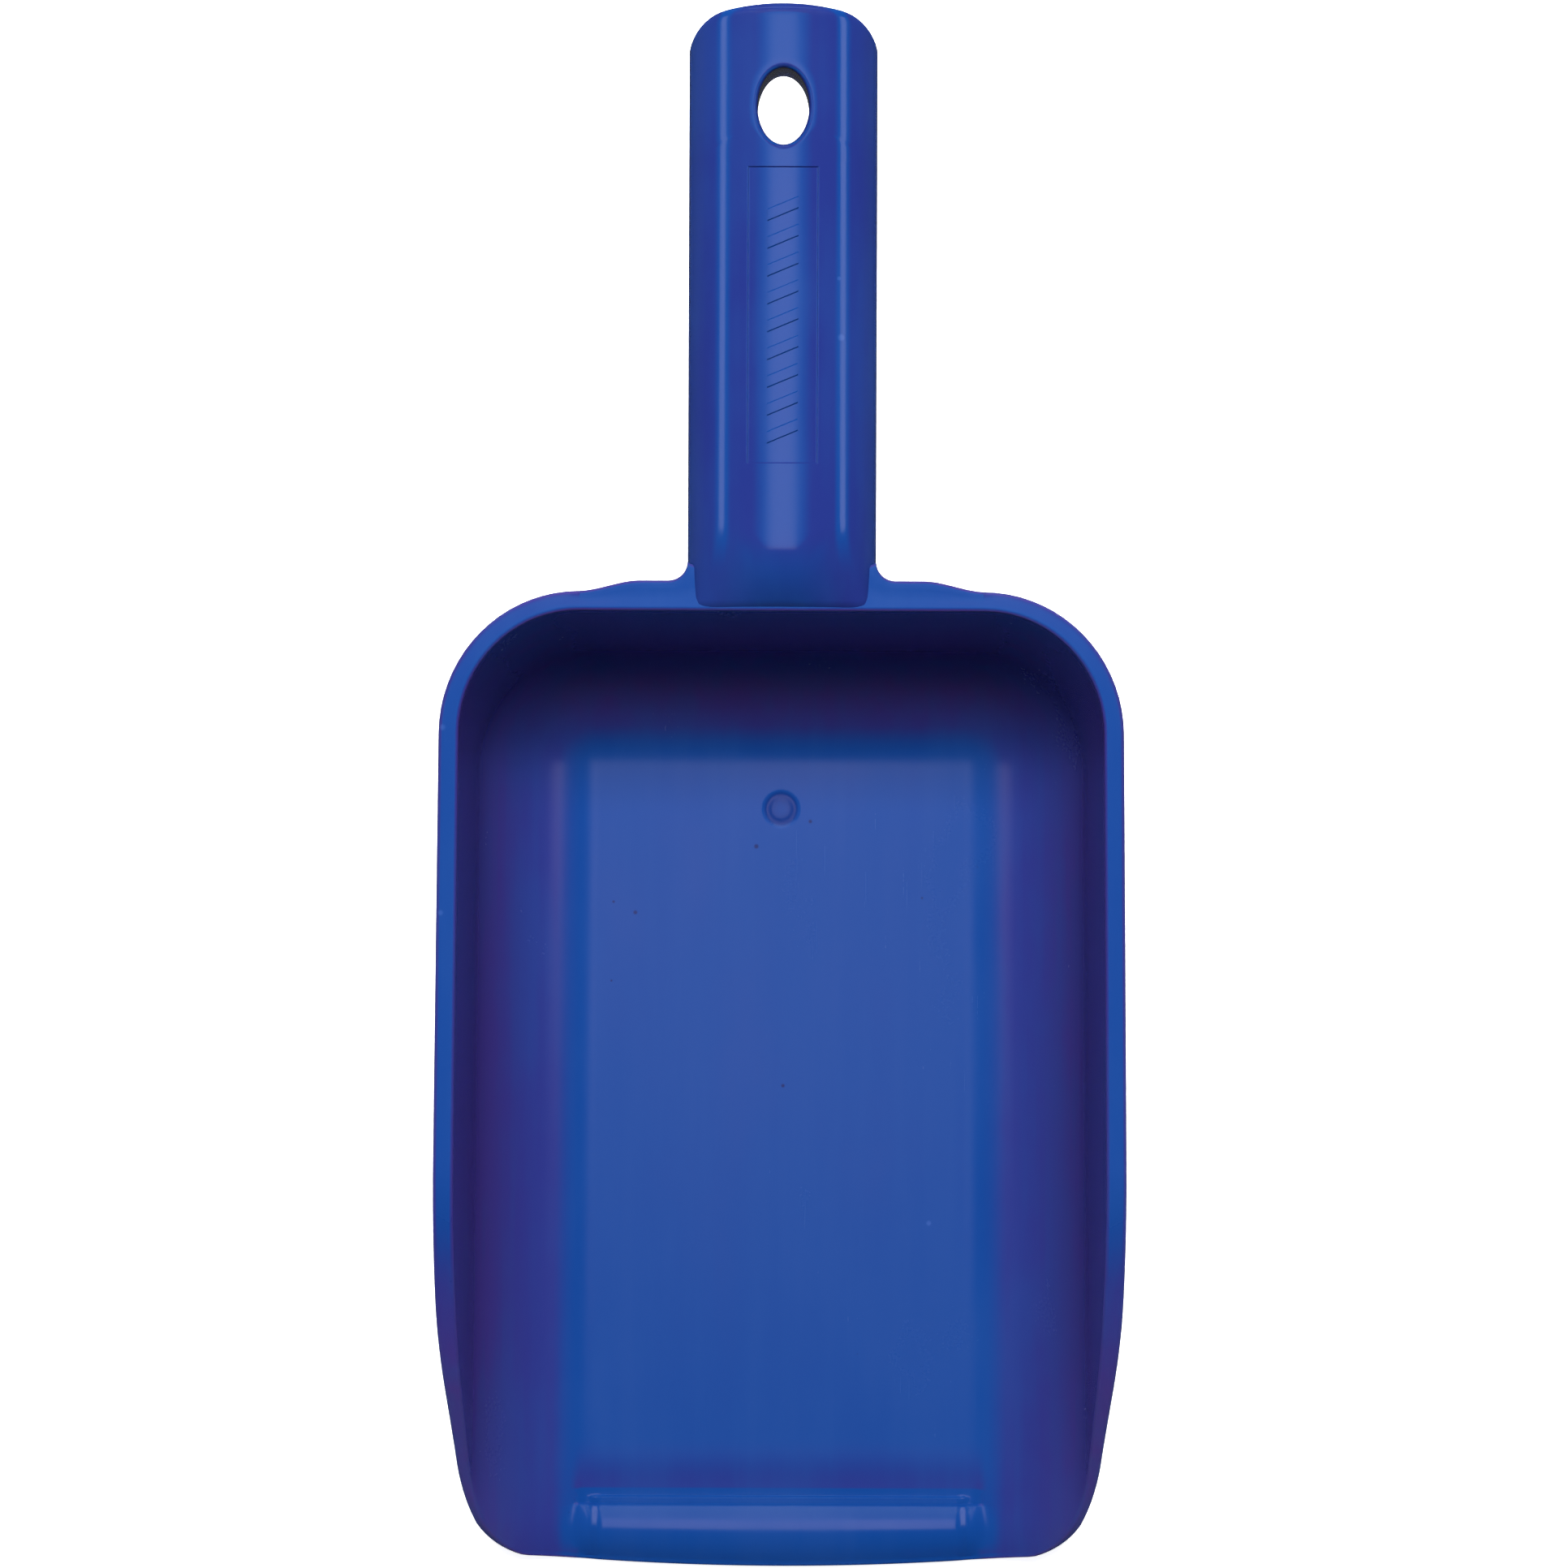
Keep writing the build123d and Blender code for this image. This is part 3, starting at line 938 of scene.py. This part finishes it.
def makePlastic(name, look, floorMarks):
    sheet = Sheet(name)
    here = sheet.node("ShaderNodeTexCoord", {}, {}, "Object")
    x, y = sheet.part(here, "X").size(), sheet.part(here, "Y")
    normal = sheet.node("ShaderNodeNewGeometry", {}, {}, "Normal")
    facing, across = sheet.part(normal, "Z"), sheet.part(normal, "X").size()
    # painted sheen: lit blue in a band where the normal leans sideways along each handle shoulder
    outer, start, end, last = look["paintedSheen"]
    paintedSheen = sheet.band(across, outer, start) * (1 - sheet.band(across, end, last))
    cloud = sheet.noise((38, 22, 38), 4)
    flow = sheet.noise((260, 14, 260), 3)
    grain = sheet.noise((1400, 1400, 1400), 2)
    # painted light: how much of the lit blue each place gets, by how level the skin lies
    tone = (sheet.band(facing, *look["level"]) + paintedSheen) * sheet.band(y, *look["root"])
    lipZone = dipShade = 0.0
    if not floorMarks:
        # painted light: a lit strip down the middle of the handle root; the rest of the root stays in painted
        # shade
        tone = tone + (1 - sheet.band(y, *look["root"])) * (1 - sheet.band(x, 0.003, 0.014)) * 0.6
    else:
        middle = 1 - sheet.band(x, 0.0425, 0.0450)
        # painted light: the lip land is held at the lit blue
        lipZone = (1 - sheet.band(y, -0.1487, -0.1479)) * middle
        # painted shade: the shallow dip before the lip's steps is pulled towards the shade colour
        dipShade = (1 - sheet.band(y, -0.1475, -0.1370)) * middle
        tone = tone + lipZone * 1.8 - dipShade * 0.8
    tone = tone + (cloud - 0.5) * 0.22 + (flow - 0.5) * 0.12
    # painted shade on the walls, deeper where they stand up or face back
    backward = sheet.band(sheet.part(normal, "Y").size(), 0.2, 0.7)
    leaning = sheet.band(facing, 0.25, 0.97) * (1 - backward * 0.8)
    wall = sheet.blend(leaning, look["paintedDeepShade"], look["paintedShadeViolet"])
    # the painted shade is kept off the outside of the walls, which take one plainer blue
    fromMiddle = sheet.node("ShaderNodeVectorMath", {"operation": "SUBTRACT"}, {0: here, 1: (0, -0.05, 0.03)})
    facts = {0: normal, 1: fromMiddle}
    outward = sheet.node("ShaderNodeVectorMath", {"operation": "DOT_PRODUCT"}, facts, "Value")
    outside = sheet.band(outward, 0.004, 0.016) * (1 - sheet.band(facing, 0.2, 0.8))
    wall = sheet.blend(outside, wall, look["outside"])
    # painted lit blue over the painted wall shade; the tone share also carries random cloudy mottle
    colour = sheet.blend(tone, wall, look["paintedLitBlue"])
    # cloudy patches and drawn-out streaks from the moulding
    cloudy = sheet.band(cloud * 0.7 + flow * 0.3, 0.40, 0.62)
    colour = sheet.blend(cloudy * 0.30, colour, plastic["washed"])
    # rubbing: fine scratches drawn along the floor
    drawn = sheet.band(sheet.noise((2600, 60, 2600), 1, (0, 0, 0.35)), 0.68, 0.75)
    worn = sheet.band(sheet.noise((55, 40, 55), 2), 0.42, 0.64)
    scratches = drawn * worn * sheet.band(facing, 0.6, 0.95)
    colour = sheet.blend(scratches * 0.014, colour, plastic["pale"])
    # pinholes and dust caught in the skin
    cell = sheet.node("ShaderNodeTexVoronoi", {}, {"Vector": sheet.place((95, 95, 95)), "Scale": 1.0})
    chance = sheet.band(sheet.noise((31, 31, 31), 1), 0.50, 0.56)
    speck = (1 - sheet.band(cell, 0.008, 0.026)) * chance
    colour = sheet.blend(speck * 0.45, colour, plastic["deep"])
    for px, py, pz, size in plastic["nicks"]:
        away = sheet.away(here, (px, py, pz))
        nick = 1 - sheet.band(away, 0.0003 * size, 0.0008 * size)
        colour = sheet.blend(nick * 0.28, colour, plastic["pale"])
    if floorMarks:
        for px, py, size in plastic["specks"]:
            away = sheet.away(here, (px, py, floorTop))
            pinhole = 1 - sheet.band(away, 0.0002 * size, 0.0007 * size)
            colour = sheet.blend(pinhole * 0.75, colour, plastic["deep"])
        # painted shade in the shallow gate recess: darker ring, lighter middle
        away = sheet.away(here, (0, gate["y"], floorTop))
        mark = (1 - sheet.band(away, 0.0032, 0.0039)) * (1 - (1 - sheet.band(away, 0.0004, 0.0028)) * 0.6)
        colour = sheet.blend(mark * 0.75, colour, plastic["gateRecessShade"])
    sheet.set("Base Color", colour)
    rough = (cloud - 0.5) * 0.14 + (grain - 0.5) * 0.02 + scratches * 0.015 + look["shine"]
    if floorMarks:
        rough = rough - lipZone * 0.07 + sheet.band(sheet.part(here, "Z"), 0.0560, 0.0572) * 0.2
    sheet.set("Roughness", rough)
    sheet.set("IOR", 1.49)
    sheet.set("Specular IOR Level", look["gloss"])
    height = grain * 0.12 + flow * 0.8 - speck * 1.5
    values = {"Strength": 0.18, "Distance": plastic["grain"], "Height": height}
    bump = sheet.node("ShaderNodeBump", {}, values)
    sheet.set("Normal", bump)
    return sheet.material


bowlPlastic = makePlastic("bowlPlastic", plastic["bowl"], True)
handlePlastic = makePlastic("handlePlastic", plastic["handle"], False)
scoopBowl.data.materials.append(bowlPlastic)
scoopHandle.data.materials.append(handlePlastic)
handleRibs = rowOf(ribBlank(), "handleRibs", rib["count"], rib["pitch"], handlePlastic)
markingBars = rowOf(barBlank(), "markingBars", bar["count"], bar["pitch"], handlePlastic)


# stand, light and camera

stage = {
    "reach": 6.0,
    "sides": 64,
    "tall": 9.0,
    "gap": 0.0003,  # how far the table lies under the scoop
    "paper": (0.93, 0.93, 0.93, 1),
    "glow": 0.9,
    "wallGlow": 0.95,
}

lights = {
    # place, size across and along, power, tint, seen in the gloss or lighting the skin
    "keyBox": {"spot": (0.0, 1.12, 2.35), "size": (1.3, 1.1),
               "power": 145, "tint": (1.0, 1.0, 1.0), "gloss": False},
    "topBox": {"spot": (0.0, 0.13, 2.5), "size": (0.40, 0.74),
               "power": 3.7, "tint": (0.95, 0.78, 1.0), "gloss": True},
    "leftStrip": {"spot": (-1.09, 0.31, 1.5), "size": (0.70, 0.40),
                  "power": 4.0, "tint": (0.95, 0.85, 1.0), "gloss": True},
    "rightStrip": {"spot": (1.09, 0.31, 1.5), "size": (0.70, 0.40),
                   "power": 4.1, "tint": (0.95, 0.85, 1.0), "gloss": True},
    "farStrip": {"spot": (0.0, 2.3, 1.3), "size": (1.2, 0.3),
                 "power": 9, "tint": (0.6, 0.8, 1.0), "gloss": True},
}

view = {"height": 1.5, "lens": 159.7, "middle": 3.45, "aside": 0.6, "roll": 0.2, "world": 0.06}


def makePaper(name, glow):
    paper = Sheet(name)
    paper.set("Base Color", stage["paper"])
    paper.set("Roughness", 0.9)
    paper.set("Specular IOR Level", 0.1)
    paper.set("Emission Color", (1, 1, 1, 1))
    paper.set("Emission Strength", glow)
    return paper.material


def makeStage():  # a round table top and, far behind, a plain wall all round
    reach, count = stage["reach"], stage["sides"]
    ring = [(reach * math.cos(2 * math.pi * i / count), reach * math.sin(2 * math.pi * i / count))
            for i in range(count)]
    table = bpy.data.meshes.new("table")
    table.from_pydata([(x, y, -stage["gap"]) for x, y in ring], [], [list(range(count))])
    wall = bpy.data.meshes.new("backdrop")
    wall.from_pydata([(x, y, z) for z in (-stage["gap"], stage["tall"]) for x, y in ring], [],
                     [[i, (i + 1) % count, count + (i + 1) % count, count + i] for i in range(count)])
    for mesh, glow in ((table, stage["glow"]), (wall, stage["wallGlow"])):
        mesh.materials.append(makePaper(mesh.name, glow))
        piece = bpy.data.objects.new(mesh.name, mesh)
        bpy.context.scene.collection.objects.link(piece)
        piece.visible_glossy = False
        if mesh == wall:
            piece.visible_diffuse = False
            piece.visible_shadow = False


def makeLights():
    for name, box in lights.items():
        lamp = bpy.data.lights.new(name, "AREA")
        lamp.shape = "RECTANGLE"
        lamp.size, lamp.size_y = box["size"]
        lamp.energy = box["power"]
        holder = bpy.data.objects.new(name, lamp)
        holder.location = box["spot"]
        lamp.color = box["tint"]
        holder.rotation_euler = Vector(box["spot"]).to_track_quat("Z", "Y").to_euler()
        holder.visible_glossy = box["gloss"]
        holder.visible_diffuse = not box["gloss"]
        bpy.context.scene.collection.objects.link(holder)
    world = bpy.data.worlds.new("room")
    world.use_nodes = True
    world.node_tree.nodes["Background"].inputs["Color"].default_value = (0.95, 0.97, 1.0, 1)
    world.node_tree.nodes["Background"].inputs["Strength"].default_value = view["world"]
    bpy.context.scene.world = world


def makeCamera():
    lens = bpy.data.cameras.new("camera")
    lens.lens = view["lens"]
    lens.sensor_width = 36.0
    lens.clip_end = 20.0
    camera = bpy.data.objects.new("camera", lens)
    camera.location = (view["aside"] * mm, view["middle"] * mm, view["height"])
    camera.rotation_euler = (0, 0, math.radians(view["roll"]))
    bpy.context.scene.collection.objects.link(camera)
    bpy.context.scene.camera = camera


makeStage()
makeLights()
makeCamera()
bpy.context.scene.view_settings.view_transform = "Standard"
print("stage, lights and camera ready")


# attach the new pieces to the root body and hide the frame regions they replace

for piece in (scoopBowl, scoopHandle, handleRibs, markingBars):
    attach(piece, "root")
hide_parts("bowl_floor", "left_side_wall", "right_side_wall", "back_wall",
            "left_rim", "right_rim", "scooping_lip")
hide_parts("handle_shell", "handle_end", "hang_hole_boss", "marking_panel")
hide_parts("handle_ribs")
